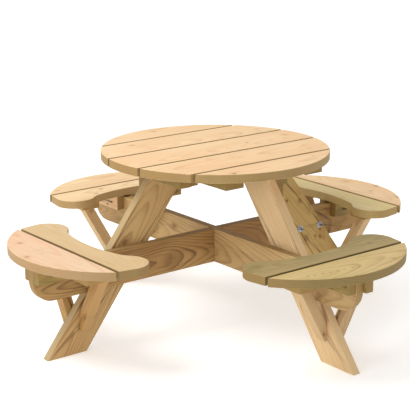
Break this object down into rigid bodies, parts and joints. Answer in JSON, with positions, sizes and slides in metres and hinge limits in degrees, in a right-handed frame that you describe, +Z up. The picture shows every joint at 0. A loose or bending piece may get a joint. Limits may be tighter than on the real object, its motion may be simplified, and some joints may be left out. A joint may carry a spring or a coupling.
{
  "type": "round picnic table",
  "caption": "Round softwood picnic table on a crossed frame with splayed legs and kidney-shaped bench seats braced to each leg.",
  "frame": {"origin": "on the ground, under the centre of the round top", "axes": "+Z up; +X and +Y along the two crossed beams, top boards run along X"},
  "size_m": [1.8658, 1.8658, 0.75],
  "materials": {
    "top_boards": "planed pressure-treated softwood, pale peach",
    "seat_boards": "planed pressure-treated softwood, pale yellow to tan",
    "frame_timber": "planed pressure-treated softwood, brown with a green tint",
    "galvanised_fasteners": "zinc plated"
  },
  "bodies": {
    "root": {"beam_front_back": "frame_timber", "beam_left_right": "frame_timber", "bearer_screws": "galvanised_fasteners", "brace_back_leg_side": "frame_timber", "brace_back_open_side": "frame_timber", "brace_front_leg_side": "frame_timber", "brace_front_open_side": "frame_timber", "brace_left_leg_side": "frame_timber", "brace_left_open_side": "frame_timber", "brace_right_leg_side": "frame_timber", "brace_right_open_side": "frame_timber", "brace_screws": "galvanised_fasteners", "cleat_back": "frame_timber", "cleat_front": "frame_timber", "cleat_left": "frame_timber", "cleat_right": "frame_timber", "cleat_screws": "galvanised_fasteners", "leg_back": "frame_timber", "leg_bolt_nuts": "galvanised_fasteners", "leg_bolt_washers": "galvanised_fasteners", "leg_bolts": "galvanised_fasteners", "leg_front": "frame_timber", "leg_left": "frame_timber", "leg_right": "frame_timber", "seat_back_batten_1": "frame_timber", "seat_back_batten_2": "frame_timber", "seat_back_bearer_1": "frame_timber", "seat_back_bearer_2": "frame_timber", "seat_back_inner_board": "seat_boards", "seat_back_outer_board": "seat_boards", "seat_front_batten_1": "frame_timber", "seat_front_batten_2": "frame_timber", "seat_front_bearer_1": "frame_timber", "seat_front_bearer_2": "frame_timber", "seat_front_inner_board": "seat_boards", "seat_front_outer_board": "seat_boards", "seat_left_batten_1": "frame_timber", "seat_left_batten_2": "frame_timber", "seat_left_bearer_1": "frame_timber", "seat_left_bearer_2": "frame_timber", "seat_left_inner_board": "seat_boards", "seat_left_outer_board": "seat_boards", "seat_right_batten_1": "frame_timber", "seat_right_batten_2": "frame_timber", "seat_right_bearer_1": "frame_timber", "seat_right_bearer_2": "frame_timber", "seat_right_inner_board": "seat_boards", "seat_right_outer_board": "seat_boards", "seat_screws": "galvanised_fasteners", "top_batten_centre": "frame_timber", "top_batten_long_left": "frame_timber", "top_batten_long_right": "frame_timber", "top_batten_short_left": "frame_timber", "top_batten_short_right": "frame_timber", "top_board_1": "top_boards", "top_board_2": "top_boards", "top_board_3": "top_boards", "top_board_4": "top_boards", "top_board_5": "top_boards", "top_screws": "galvanised_fasteners"}
  },
  "joints": []
}
